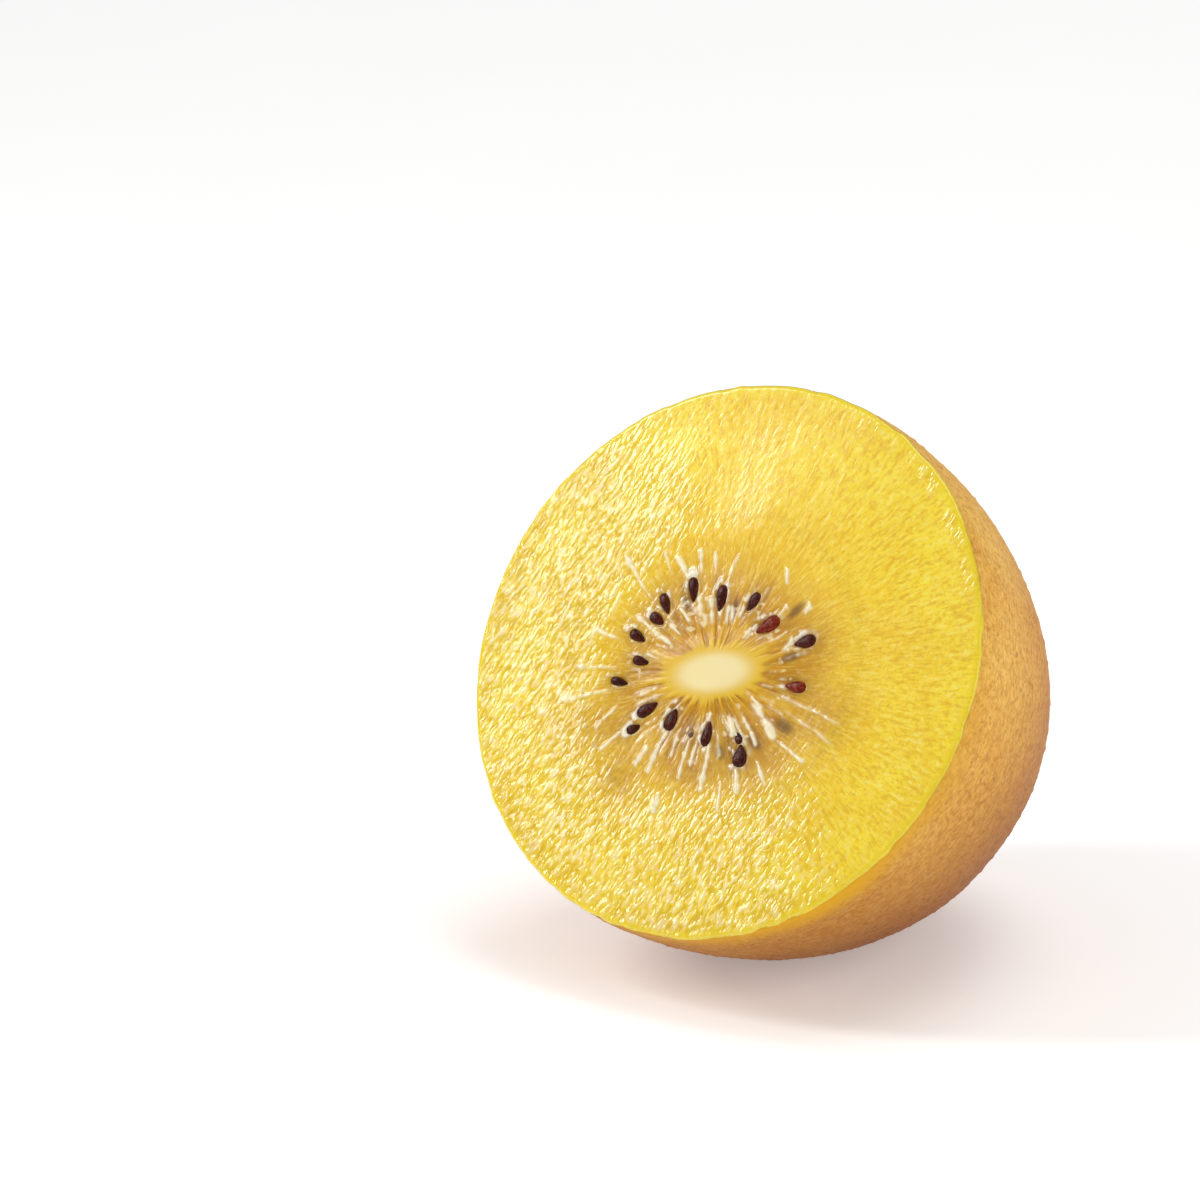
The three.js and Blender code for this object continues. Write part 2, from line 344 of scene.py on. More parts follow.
# The pale strands that are easy to tell apart: clock angle and distance of one end, the same of the other,
# half width and height.
STRANDS = [
    (241.9, 5.8, 249.2, 10.9, 0.17, 0.17),
    (265.0, 6.3, 267.2, 10.2, 0.15, 0.15),
    (284.1, 6.4, 280.7, 11.0, 0.17, 0.17),
    (302.4, 9.1, 299.4, 12.0, 0.18, 0.16),
    (314.3, 9.8, 313.0, 12.6, 0.14, 0.15),
    (336.8, 5.2, 329.3, 9.4, 0.24, 0.22),
    (329.3, 9.4, 331.8, 13.4, 0.13, 0.14),
    (353.5, 6.0, 350.6, 14.3, 0.14, 0.05),
    (346.0, 7.5, 343.0, 14.8, 0.12, 0.04),
    (307.8, 4.4, 305.7, 6.6, 0.22, 0.20),
    (299.9, 4.0, 309.4, 7.0, 0.13, 0.12),
    (343.9, 4.0, 338.0, 6.4, 0.16, 0.12),
    (147.4, 10.0, 144.2, 15.7, 0.14, 0.14),
    (124.2, 9.6, 125.8, 12.2, 0.20, 0.18),
    (115.7, 9.6, 114.5, 12.0, 0.14, 0.12),
    (106.8, 9.3, 106.9, 11.4, 0.12, 0.12),
    (62.0, 10.4, 66.7, 11.6, 0.24, 0.16),
    (131.6, 10.8, 130.5, 13.3, 0.12, 0.10),
    (173.4, 10.7, 172.3, 13.4, 0.14, 0.08),
    (187.6, 9.9, 187.9, 14.6, 0.16, 0.06),
    (198.9, 10.8, 200.1, 15.9, 0.18, 0.07),
    (160.4, 7.4, 158.8, 10.4, 0.16, 0.12),
    (161.6, 5.2, 160.4, 7.7, 0.15, 0.12),
    (239.2, 9.0, 241.6, 11.2, 0.20, 0.15),
    (260.3, 11.9, 261.6, 13.9, 0.20, 0.13),
    (207.8, 10.1, 215.1, 12.8, 0.14, 0.09),
    (122.4, 5.6, 119.1, 7.7, 0.17, 0.13),
    (110.0, 4.6, 111.0, 7.4, 0.15, 0.12),
    (92.0, 4.4, 94.0, 6.4, 0.13, 0.10),
    (98.0, 8.6, 94.3, 11.2, 0.12, 0.08),
    (42.6, 10.2, 44.5, 11.2, 0.22, 0.16),
    (26.6, 7.1, 31.7, 8.4, 0.24, 0.16),
    (222.0, 9.9, 224.0, 13.2, 0.12, 0.07),
    (253.0, 6.0, 257.0, 8.6, 0.13, 0.10),
    (273.0, 5.2, 272.0, 8.8, 0.12, 0.10),
    (292.0, 10.0, 290.0, 13.2, 0.13, 0.10),
    (322.0, 5.0, 318.0, 8.6, 0.15, 0.14),
    (134.0, 5.4, 136.0, 7.6, 0.13, 0.10),
    (148.0, 5.2, 149.0, 7.0, 0.13, 0.10),
    (178.0, 6.0, 176.0, 7.6, 0.13, 0.09),
    (204.0, 5.6, 206.0, 8.0, 0.13, 0.09),
    (60.0, 4.0, 62.0, 5.4, 0.12, 0.09),
]


def fine_strands():
    """Short fine strands, drawn at random, which are longest at the bottom."""
    strands = []
    for k in range(FINE_STRANDS):
        clock = 360 * (k + 0.8 * RNG.random()) / FINE_STRANDS
        low = 0.5 - 0.5 * math.sin(math.radians(clock))
        start = 4.4 + 3.0 * RNG.random()
        end = start + 0.9 + 1.8 * RNG.random() * (0.6 + low)
        half_width = 0.11 + 0.09 * RNG.random()
        clock_out = clock + 5 * (RNG.random() - 0.5)
        height = 0.01 + 0.05 * RNG.random() ** 1.5
        strands.append((clock, start, clock_out, end, half_width, height))
    return strands


def strand_relief(far, clock):
    """The strands' height. Each is a beaded ridge that wanders a little and ends in a drop."""
    relief = np.zeros_like(far)
    for i, (clock_in, start, clock_out, end, half_width, height) in enumerate(STRANDS + fine_strands()):
        share = np.clip((far - start) / (end - start), -0.5, 1.5)
        middle = np.radians(clock_in + (clock_out - clock_in) * share)
        across = wrapped(clock - middle) * far + 0.04 * np.sin(1.7 * far + 5 * i)
        taper = smooth(share, -0.10, 0.45) * (1 - smooth(share, 0.90, 1.06))
        bead = 0.95 + 0.80 * WAVES(far * 2.3 + 17.3 * i, 3.7 * i) + 0.25 * bell(share, 0.85, 0.14)
        girth = 1.00 + 0.50 * WAVES(far * 1.9 + 11.1 * i, 5.1 * i) + 0.20 * bell(share, 0.88, 0.14)
        ridge = np.exp(-np.minimum((across / (half_width * girth)) ** 2, 30))
        relief = np.maximum(relief, height * bead * taper * ridge)
    return relief


def wetness(face):
    """How wet and beaded the pulp is, which also sets where highlights and shade are painted on it: most at
    the lower left, with a few drops at the upper right rim.
    """
    lower_left = smooth((-0.80 * face.x - 0.70 * face.y) / 20, -0.40, 0.45)
    wet = lower_left * (0.16 + 0.84 * smooth(face.far, 10, 17))
    wet *= 0.55 + 0.45 * smooth(WAVES(face.x * 0.33 + 3, face.y * 0.24, 5.5), -0.5, 0.2)
    drops = smooth(WAVES(face.x * 0.8, face.y * 0.8, 2.5), -0.3, 0.4)
    beaded = bell(face.clock, 0.75, 0.40) * smooth(face.radius, 24.0, 25.2) * drops
    return np.maximum(wet, 0.30 * beaded)


def seed_marks(face):
    """What the seeds do to the pulp round them: the pits that they lie in, gel, white as a painted
    highlight on its lit side, and painted shade, with the dark smudges of sunk seeds.
    """
    pit, gel, shade = [np.zeros_like(face.x) for _ in range(3)]
    for i, seed in enumerate(DARK_SEEDS + RED_SEEDS + SUNK_SEEDS):
        clock, distance, length, half_width, twist, lift = seed
        lean = math.radians(clock + twist)
        seed_x, seed_y = polar(distance, clock)
        x, y = face.x - CORE["x"] - seed_x, face.y - CORE["y"] - seed_y
        along = x * math.cos(lean) + y * math.sin(lean)
        across = y * math.cos(lean) - x * math.sin(lean)
        if lift < SUNK_LIFT:
            drop = np.hypot(along / (0.62 * length), across / (1.1 * half_width))
            shade = np.maximum(shade, np.exp(-(drop**3)))
            continue
        oval = np.hypot(along / (length / 2), across / half_width)
        pit = np.maximum(pit, FACE["pit"] * (1 - smooth(oval, 0.80, 1.15)))
        ragged = WAVES(face.clock * 20 + i, face.far * 1.6, i * 1.7)
        beads = np.clip(0.05 + 1.5 * ragged, 0, 1)
        # Gel gathers on the lit side, where its white colour is a painted highlight.
        lit = 0.12 + 0.88 * smooth(-0.95 * x + 0.30 * y, -0.3, 0.6)
        gel = np.maximum(gel, FACE["gel"] * bell(oval, 1.28, 0.34) * beads * lit)
        # Painted shade round each seed.
        shade = np.maximum(shade, 0.50 * np.exp(-((along / 1.8) ** 2) - (across / 1.1) ** 2))
    return pit, gel, shade


def face_pieces(material):
    """The cut face, one fine sheet in two pieces: pale core, sagging seed ring with strands, pits and gel
    round the seeds, radial streaks, wet swellings and a rounded rim."""
    face = Face()
    strands = strand_relief(face.far, face.clock)
    comb = 0.65 * face.streaks(13, 0.35, 0) + 0.35 * face.streaks(27, 0.6, 9)
    comb *= smooth(face.share, 0.80, 1.15) * (1 - smooth(face.far, 7.0, 11))
    streak = 0.5 * face.streaks(22, 0.12, 5) + 0.5 * face.streaks(50, 0.18, 3)
    wet = wetness(face)
    pit, gel, shade = seed_marks(face)

    outside = smooth(face.far, 8, 13)
    ring = smooth(face.share, 0.95, 1.7) * (1 - smooth(face.far, 9.5, 14))
    grain = 0.6 * WAVES(face.x * 1.5, face.y * 0.9, 3.3) + 0.4 * WAVES(face.x * 2.6, face.y * 1.6, 8.1)
    z = CUT + FACE["core"] * (1 - smooth(face.share, 0.5, 1.5)) - FACE["ring"] * ring
    z += strands * smooth(face.share, 0.95, 1.25) + gel - pit
    z += FACE["comb"] * comb
    z += FACE["streak"] * streak * outside
    z += FACE["grain"] * grain * outside * (0.25 + 0.75 * wet)
    z += FACE["swelling"] * WAVES(face.x * 0.22 + 5, face.y * 0.22, 1.7) * outside
    z += FACE["sheen"] * face.mound(*SHEEN)
    z -= FACE["rounding"] * np.clip((face.radius - FRUIT_RADIUS + 0.45) / 0.47, 0, 1) ** 3
    # The last ring is tucked in behind the skin's edge.
    z[-FACE_SECTORS:] = CUT - FACE["tuck"]

    clear = np.max([face.patch(*place) for place in CLEAR_PATCHES], axis=0)
    wet *= (1 - 0.60 * clear) * (1 - 0.35 * face.mound(*DRY_BOTTOM))
    for clock, distance, spread, strength in DUSKY_PATCHES:
        shade = np.maximum(shade, strength * face.patch(clock, distance, spread))

    masks = {
        "share": face.share,
        "far": face.far,
        "clear": clear,
        "strand": np.clip(strands / FULL_STRAND, 0, 1),
        "gel": np.clip(gel / FULL_GEL, 0, 1),
        "shade": shade,
        "streak": streak,
        "comb": comb,
        "wet": wet,
        "rim": FRUIT_RADIUS - face.radius,
        "polar": np.column_stack([60 * np.cos(face.clock), 60 * np.sin(face.clock), face.far * 0.22]),
    }
    heart_and_pulp(np.column_stack([face.x, face.y, z]), masks, len(face.radii), material)


def heart_and_pulp(points, masks, rings, material):
    """The sheet of the cut face as two pieces: the heart, closed at its middle, and the pulp round it."""
    normals = grid_normals(points, rings, FACE_SECTORS)
    hub = (HEART_RINGS + 1) * FACE_SECTORS

    def with_hub(values):
        return np.concatenate([values[:hub], values[:FACE_SECTORS].mean(axis=0)[None]])

    faces = ring_faces(HEART_RINGS + 1, FACE_SECTORS).tolist()
    faces += [[hub, s, (s + 1) % FACE_SECTORS] for s in range(FACE_SECTORS)]
    inner = {key: with_hub(values) for key, values in masks.items()}
    mesh_piece("heart", with_hub(points), faces, inner, material, with_hub(normals))

    first = HEART_RINGS * FACE_SECTORS
    faces = ring_faces(rings - HEART_RINGS, FACE_SECTORS).tolist()
    outer = {key: values[first:] for key, values in masks.items()}
    mesh_piece("pulp", points[first:], faces, outer, material, normals[first:])


# The skin.


def stem_relief(radius, clock):
    """Collar, dish, stump and creases of the stem end, and a mask of its corky ground."""
    lobes = 1 + 0.22 * np.cos(5 * clock) + 0.10 * np.cos(9 * clock + 1)
    ragged = 0.16 * WAVES(clock * 9, radius * 1.2, 2.2) + 0.12 * WAVES(clock * 21, radius * 2.0, 5.2)
    collar = (0.6 + ragged) * lobes * bell(radius, 7.4, 1.7)
    dish = 0.95 * bell(radius, 4.1, 1.7)
    stump = 0.35 * bell(radius, 0, 1.7) + 0.25 * (1 - smooth(radius, 1.5, 1.9))
    creases = 0.07 * np.cos(28 * clock + 0.5 * np.sin(3 * clock)) * bell(radius, 10.5, 3.2)
    fissure = -0.14 * np.clip(WAVES(clock * 13, radius * 0.8, 9.2), 0, 1) * bell(radius, 6.5, 2.6)
    blunting = 1.4 * bell(radius, 0, 8)
    edge = 8.6 + 0.9 * WAVES(clock * 4, 0.3, 1.1) + 0.5 * WAVES(clock * 11, 0.7, 4.1)
    cork = 1 - smooth(radius, edge - 0.7, edge + 0.9)
    return collar - dish + stump + creases + fissure - blunting, cork


def lenticels(points):
    """A mask of the skin's raised dots, which are spread evenly with a little chance."""
    k = np.arange(LENTICELS)
    low, high = -FRUIT_HALF_LENGTH * 0.985, CUT - 0.5
    z = low + (high - low) * (k + 0.9 * (RNG.random(LENTICELS) - 0.5) + 0.5) / LENTICELS
    golden_angle = math.pi * (3 - math.sqrt(5))
    angle = k * golden_angle + 0.05 * RNG.standard_normal(LENTICELS) + 0.6 * (RNG.random(LENTICELS) - 0.5)
    radius = FRUIT_RADIUS * np.sqrt(np.clip(1 - (z / FRUIT_HALF_LENGTH) ** 2, 0, 1))
    spots = np.column_stack([radius * np.cos(angle), radius * np.sin(angle), z])
    size = 0.15 + 0.13 * RNG.random(LENTICELS) ** 2.2
    tree = KDTree(LENTICELS)
    for i, spot in enumerate(spots):
        tree.insert(spot, i)
    tree.balance()
    dots = np.zeros(len(points))
    for i, point in enumerate(points):
        _, near, gap = tree.find(point)
        if gap < 3 * size[near]:
            dots[i] = math.exp(-((gap / size[near]) ** 2)) * (0.5 + size[near] * 1.6)
    return dots


def skin_grid():
    """Distance from the axis, clock angle and height of the plain egg's corners, ring by ring."""
    side_end, side_rings = SKIN_SIDE
    rim = -math.asin(SKIN_TOP / FRUIT_HALF_LENGTH)
    angles = np.concatenate([np.linspace(rim, side_end, side_rings), np.linspace(*SKIN_END)])
    around = 2 * np.pi * np.arange(SKIN_SECTORS) / SKIN_SECTORS
    radius, clock = np.meshgrid(FRUIT_RADIUS * np.cos(angles), around, indexing="ij")
    height = np.repeat(-FRUIT_HALF_LENGTH * np.sin(angles), SKIN_SECTORS)
    return radius.ravel(), clock.ravel(), height


def skin_lumps(x, y, z, from_rim):
    """Soft lumps and fine grain, which die out towards the rim."""
    lumps = 0.10 * WAVES(x * 0.13, y * 0.13, z * 0.11) + 0.04 * WAVES(x * 0.31, y * 0.31, z * 0.27 + 9)
    fine = 0.022 * WAVES(x * 1.7, y * 1.7, z * 1.2 + 3) + 0.012 * WAVES(x * 3.1, y * 3.1, z * 2.2 + 5)
    return (lumps + 0.1) * smooth(from_rim, 0.0, 3.0) + fine * smooth(from_rim, 0.1, 0.8)


def rolled_edge(first_ring, clock):
    """The rings of the skin's thin cut edge, which come before its first ring."""
    rings = []
    for back, up in ROLLED_EDGE:
        shift = np.column_stack([-back * np.cos(clock), -back * np.sin(clock), np.full(len(clock), up)])
        rings.append(first_ring + shift)
    return np.vstack(rings)


def skin_piece(material):
    """The brown skin, from the rim to the stem end, with its raised dots, mottling and corky stem end."""
    radius, clock, height = skin_grid()
    plain = np.column_stack([radius * np.cos(clock), radius * np.sin(clock), height])
    outward = plain / np.array([FRUIT_RADIUS**2, FRUIT_RADIUS**2, FRUIT_HALF_LENGTH**2])
    outward /= np.linalg.norm(outward, axis=1)[:, None]
    from_rim = SKIN_TOP - height
    stem, cork = [values * (height < -FRUIT_HALF_LENGTH / 2) for values in stem_relief(radius, clock)]
    dots = lenticels(plain) * (1 - cork)
    rise = stem + skin_lumps(*plain.T, from_rim) + LENTICEL_HEIGHT * dots * smooth(from_rim, 0.2, 0.8)
    points = plain + outward * rise[:, None]
    points = np.vstack([rolled_edge(points[:SKIN_SECTORS], clock[:SKIN_SECTORS]), points])
    hub = len(points)
    points = np.vstack([points, [[0, 0, points[-SKIN_SECTORS:, 2].mean()]]])

    lead = len(ROLLED_EDGE) * SKIN_SECTORS
    padded = {
        "cork": (cork, 0.0),
        "dot": (np.clip(dots, 0, 1), 0.0),
        "from_rim": (from_rim, -0.2),
        "axial": (height, CUT),
        # Painted shade near the floor: 1 at the floor, fading to 0 at 30 mm up.
        "under": (1 - smooth(place(plain)[:, 2] / MM, 3, 30), 0.0),
        "low": (0.95 * bell(wrapped(clock + 0.85), 0, 0.75), 0.0),
    }
    masks = {key: np.concatenate([np.full(lead, fill), values]) for key, (values, fill) in padded.items()}
    wrap = np.column_stack([32 * np.cos(clock), 32 * np.sin(clock), 3 * height])
    masks["wrap"] = np.vstack([wrap[:SKIN_SECTORS]] * len(ROLLED_EDGE) + [wrap])
    masks = {key: np.concatenate([values, values[-1:]]) for key, values in masks.items()}

    last = hub - SKIN_SECTORS
    faces = ring_faces(hub // SKIN_SECTORS, SKIN_SECTORS).tolist()
    faces += [[last + (s + 1) % SKIN_SECTORS, hub, last + s] for s in range(SKIN_SECTORS)]
    mesh_piece("skin", points, faces, masks, material)


# The seeds.


def seed_points(clock, distance, length, half_width, twist, lift, around, along):
    """The corners of one flat drop that lies in the pulp with its point towards the core."""
    t = np.linspace(0, np.pi, along)
    u = np.linspace(0, 2 * np.pi, around, endpoint=False)
    t, u = np.meshgrid(t, u, indexing="ij")
    axis = -np.cos(t)
    girth = np.sin(t) ** 0.85 * (1 + 0.30 * axis) * (1 - 0.10 * (1 - axis) ** 2)
    x = axis * length / 2
    y = girth * half_width * np.cos(u)
    z = girth * SEED_HALF_THICKNESS * np.sin(u) * (1 + 0.15 * np.cos(2 * u))
    z += 0.012 * WAVES(x * 6 + clock, y * 6, z * 6)
    flat = np.column_stack([x.ravel(), y.ravel(), z.ravel()])
    spin = np.array(Matrix.Rotation(math.radians(clock + twist), 3, "Z"))
    centre_x, centre_y = polar(distance, clock)
    return flat @ spin.T + [CORE["x"] + centre_x, CORE["y"] + centre_y, CUT - SEED_DEPTH + lift]


def seed_piece(name, seeds, material):
    """Some of the seeds, as one piece."""
    around, along = 26, 22
    faces = ring_faces(along, around, turned=True)
    points = [seed_points(*seed, around, along) for seed in seeds]
    all_faces = np.vstack([faces + i * around * along for i in range(len(seeds))])
    own = np.repeat([seed[0] / 360.0 for seed in seeds], around * along)
    mesh_piece(name, np.vstack(points), all_faces.tolist(), {"own": own}, material)


# Materials.


class Nodes:
    """A short way to write a node material."""

    def __init__(self, name):
        self.material = bpy.data.materials.new(name)
        self.material.use_nodes = True
        self.tree = self.material.node_tree
        self.tree.nodes.clear()
        self.out = self.tree.nodes.new("ShaderNodeOutputMaterial")
        self.shader = self.tree.nodes.new("ShaderNodeBsdfPrincipled")
        self.tree.links.new(self.shader.outputs[0], self.out.inputs["Surface"])

    def put(self, socket, value):
        """Link a value to a socket, or set the socket to it."""
        if isinstance(value, bpy.types.NodeSocket):
            self.tree.links.new(value, socket)
        elif hasattr(socket.default_value, "__len__") and not hasattr(value, "__len__"):
            socket.default_value = [value] * len(socket.default_value)
        else:
            socket.default_value = value

    def surface(self, settings):
        """Put values on the shader's own sockets, and give the finished material."""
        for key, value in settings.items():
            self.put(self.shader.inputs[key], value)
        return self.material

    def node(self, kind, output=0, settings=None, inputs=None):
        """The output of a new node, with its settings and its inputs by name or by number."""
        node = self.tree.nodes.new("ShaderNode" + kind)
        for key, value in (settings or {}).items():
            setattr(node, key, value)
        for key, value in (inputs or {}).items():
            self.put(node.inputs[key], value)
        return node.outputs[output]

    def mask(self, name, output="Fac"):
        """A mask of the mesh, as a number or, with output "Vector", as a place."""
        return self.node("Attribute", output, {"attribute_name": name})

    def math(self, kind, a, b=0.0, c=0.0):
        """A sum, product or other reckoning of two or three values."""
        return self.node("Math", 0, {"operation": kind}, {0: a, 1: b, 2: c})

    def times(self, a, b):
        """The product of two values."""
        return self.math("MULTIPLY", a, b)

    def step(self, value, low, high, out_low=0.0, out_high=1.0):
        """out_low below low, out_high above high and a smooth step between them."""
        inputs = {"Value": value, "From Min": low, "From Max": high, "To Min": out_low, "To Max": out_high}
        return self.node("MapRange", 0, {"interpolation_type": "SMOOTHSTEP"}, inputs)

    def mix(self, share, a, b, blend="MIX"):
        """Colour a with a share of colour b over it."""
        settings = {"data_type": "RGBA", "blend_type": blend, "clamp_factor": True}
        return self.node("Mix", 2, settings, {0: share, 6: rgb(a), 7: rgb(b)})

    def layers(self, colour, rows):
        """A colour with thin ones laid over it. Each row has a value, where its step starts and ends, the
        share at the step's end, and the colour."""
        for value, low, high, share, over in rows:
            colour = self.mix(self.step(value, low, high, 0.0, share), colour, over)
        return colour

    def noise(self, scale, detail, rough, vector, distortion=0.0):
        """Smooth noise about a half."""
        inputs = {"Scale": scale, "Detail": detail, "Roughness": rough, "Distortion": distortion}
        return self.node("TexNoise", "Fac", None, {**inputs, "Vector": vector})

    def mapping(self, vector, rotation=(0, 0, 0), scale=(1, 1, 1)):
        """A place that is scaled and then turned."""
        inputs = {"Vector": vector, "Rotation": rotation, "Scale": scale}
        return self.node("Mapping", 0, {"vector_type": "POINT"}, inputs)

    def own_space(self):
        """The place in the fruit's own frame, in millimetres."""
        upright = (math.radians(REST_TILT) - math.pi / 2, 0, 0)
        return self.mapping(self.node("TexCoord", "Object"), upright, (1 / MM, 1 / MM, 1 / MM))

    def bump(self, height, distance, strength):
        """A normal that is bent by a height, over a distance in metres."""
        return self.node("Bump", 0, None, {"Height": height, "Distance": distance, "Strength": strength})


def rgb(value):
    """An sRGB colour of three numbers up to 255, as the linear colour that nodes take."""
    if isinstance(value, bpy.types.NodeSocket):
        return value
    linear = [c / 255 / 12.92 if c <= 10.3 else ((c / 255 + 0.055) / 1.055) ** 2.4 for c in value]
    return (*linear, 1.0)


PULP = {
    "outer": (247, 208, 30),
    "outermost": (252, 224, 36),
    "inner": (192, 124, 2),
    "cloud": (234, 184, 14),
    "ray": (252, 228, 84),
    "streak": (252, 226, 80),
    "dark_fibre": (222, 168, 12),
    "pale_fibre": (255, 238, 124),
    "pale_grain": (252, 226, 84),
    "dark_cell": (214, 160, 10),
    "clear": (176, 112, 8),
    "comb_ridge": (236, 192, 54),
    "comb_groove": (146, 86, 10),
    "dusk": (92, 54, 20),
    "gap": (206, 172, 4),
    "pearl": (252, 234, 190),
    "pale_flecks_and_highlights": (255, 244, 206),
    "gel": (255, 245, 224),
    "strand": (255, 246, 214),
    "core_edge": (229, 190, 56),
    "core": (243, 226, 166),
    "wet_rim": (222, 180, 16),
    "rim": (246, 214, 24),
}


def pulp_material():
    """Wet yellow pulp: saturated at the rim, ochre and clear round the seeds, pale at core and strands,
    with painted highlights and painted shade.
    """
    n = Nodes("pulp")
    share, far, rim, wet = n.mask("share"), n.mask("far"), n.mask("rim"), n.mask("wet")
    comb = n.mask("comb")
    out_from_core = n.mask("polar", "Vector")
    at = n.own_space()
    grain = n.noise(1.3, 4, 0.6, at)
    cells = n.noise(2.6, 3, 0.6, at)
    fibre = n.noise(1.0, 4, 0.65, n.mapping(out_from_core, scale=(1, 1, 4)))
    leaning = n.mapping(at, rotation=(0, 0, math.radians(DASH_LEAN)))
    tall = n.mapping(leaning, scale=(1.12, 0.40, 1))
    wave = n.math("MULTIPLY_ADD", n.noise(4.8, 0, 0.5, tall), 0.25, n.noise(2.3, 0.6, 0.45, tall, 0.30))

    outer = n.mix(n.step(far, 13, 24), PULP["outer"], PULP["outermost"])
    colour = n.mix(n.step(far, 6.5, 14.0), PULP["inner"], outer)
    colour = n.layers(
        colour,
        [
            (n.noise(0.15, 3, 0.55, at), 0.35, 0.7, 0.40, PULP["cloud"]),
            (n.noise(1.0, 3, 0.6, out_from_core), 0.48, 0.72, 0.38, PULP["ray"]),
            (n.mask("streak"), 0.0, 0.7, 0.28, PULP["streak"]),
            (fibre, 0.50, 0.36, 0.55, PULP["dark_fibre"]),
            (fibre, 0.52, 0.66, 0.55, PULP["pale_fibre"]),
            (grain, 0.5, 0.75, 0.25, PULP["pale_grain"]),
            (cells, 0.50, 0.36, 0.30, PULP["dark_cell"]),
        ],
    )
    colour = n.mix(n.times(n.mask("clear"), n.step(grain, 0.3, 0.7, 0.62, 0.34)), colour, PULP["clear"])
    colour = n.layers(
        colour,
        [
            (comb, 0.05, 0.42, 0.40, PULP["comb_ridge"]),
            (comb, -0.02, -0.32, 0.36, PULP["comb_groove"]),
        ],
    )
    # Painted shade round the seeds and in the dusky patches, and the dark smudges of sunk seeds under the
    # pulp.
    colour = n.mix(n.times(n.mask("shade"), 0.75), colour, PULP["dusk"])
    past_core = n.step(share, 1.2, 2.2)
    # Painted shade: darker yellow in the troughs between the wet beads.
    gap = n.times(n.step(wave, 0.64, 0.50, 0, 0.62), n.times(wet, past_core))
    colour = n.mix(gap, colour, PULP["gap"])
    pearls = n.step(n.noise(1.5, 0, 0.5, at), 0.65, 0.76, 0, 0.60)
    in_ring = n.times(n.step(share, 1.20, 1.45), n.step(far, 9.4, 7.4))
    colour = n.mix(n.times(pearls, in_ring), colour, PULP["pearl"])
    # Painted highlights, partly pale cells: near white on the crests of the wet beads.
    pale_flecks_and_highlights = n.times(n.step(wave, 0.62, 0.80), n.math("MULTIPLY_ADD", wet, 0.62, 0.02))
    colour = n.mix(n.times(pale_flecks_and_highlights, past_core), colour, PULP["pale_flecks_and_highlights"])
    # Gel round the seeds, its white a painted highlight on its lit side.
    colour = n.mix(n.times(n.mask("gel"), 0.88), colour, PULP["gel"])
    colour = n.mix(n.times(n.mask("strand"), 0.86), colour, PULP["strand"])
    fringe = n.math("MULTIPLY_ADD", comb, -0.30, share)
    colour = n.layers(
        colour,
        [
            (fringe, 1.20, 0.90, 1.0, PULP["core_edge"]),
            (fringe, 0.96, 0.46, 1.0, PULP["core"]),
        ],
    )
    colour = n.mix(n.times(n.step(rim, 4.0, 0.6, 0, 0.45), wet), colour, PULP["wet_rim"])
    edge = n.math("MULTIPLY_ADD", n.math("SUBTRACT", grain, 0.5), 1.4, rim)
    colour = n.mix(n.step(edge, 0.9, 0.2, 0, 0.7), colour, PULP["rim"])

    inside = n.step(share, 1.0, 1.9)
    depth = n.times(n.math("MULTIPLY_ADD", wet, 0.95, 0.08), inside)
    height = n.math("ADD", n.times(wave, depth), n.times(fibre, 0.035))
    return n.surface(
        {
            "Base Color": colour,
            "Normal": n.bump(height, 0.00016, 0.8),
            "Roughness": n.step(grain, 0.3, 0.7, 0.40, 0.52),
            "IOR": 1.36,
            "Subsurface Weight": 0.30,
            "Subsurface Radius": (1.0, 0.78, 0.20),
            "Subsurface Scale": 0.0016,
            "Specular IOR Level": 0.22,
            "Coat Weight": n.step(share, 1.3, 3.2, 0.30, 1.0),
            "Coat IOR": 1.52,
            "Coat Roughness": n.step(n.times(wet, inside), 0.0, 0.35, 0.17, 0.10),
            "Coat Normal": n.bump(height, 0.00024, 1.0),
        }
    )


SKIN = {
    "base": (240, 180, 74),
    "pale_base": (250, 198, 90),
    "mottle": (208, 140, 54),
    "pale_streak": (252, 212, 124),
    "dark_streak": (198, 126, 50),
    "grain": (192, 120, 48),
    "far_tint": (214, 182, 156),
    "floor_shade_tint": (176, 148, 132),
    "speck": (180, 106, 40),
    "dot": (150, 86, 34),
    "near_rim": (224, 166, 8),
    "cork": (190, 130, 68),
    "dark_cork": (150, 96, 46),
    "cork_grain": (122, 74, 36),
}


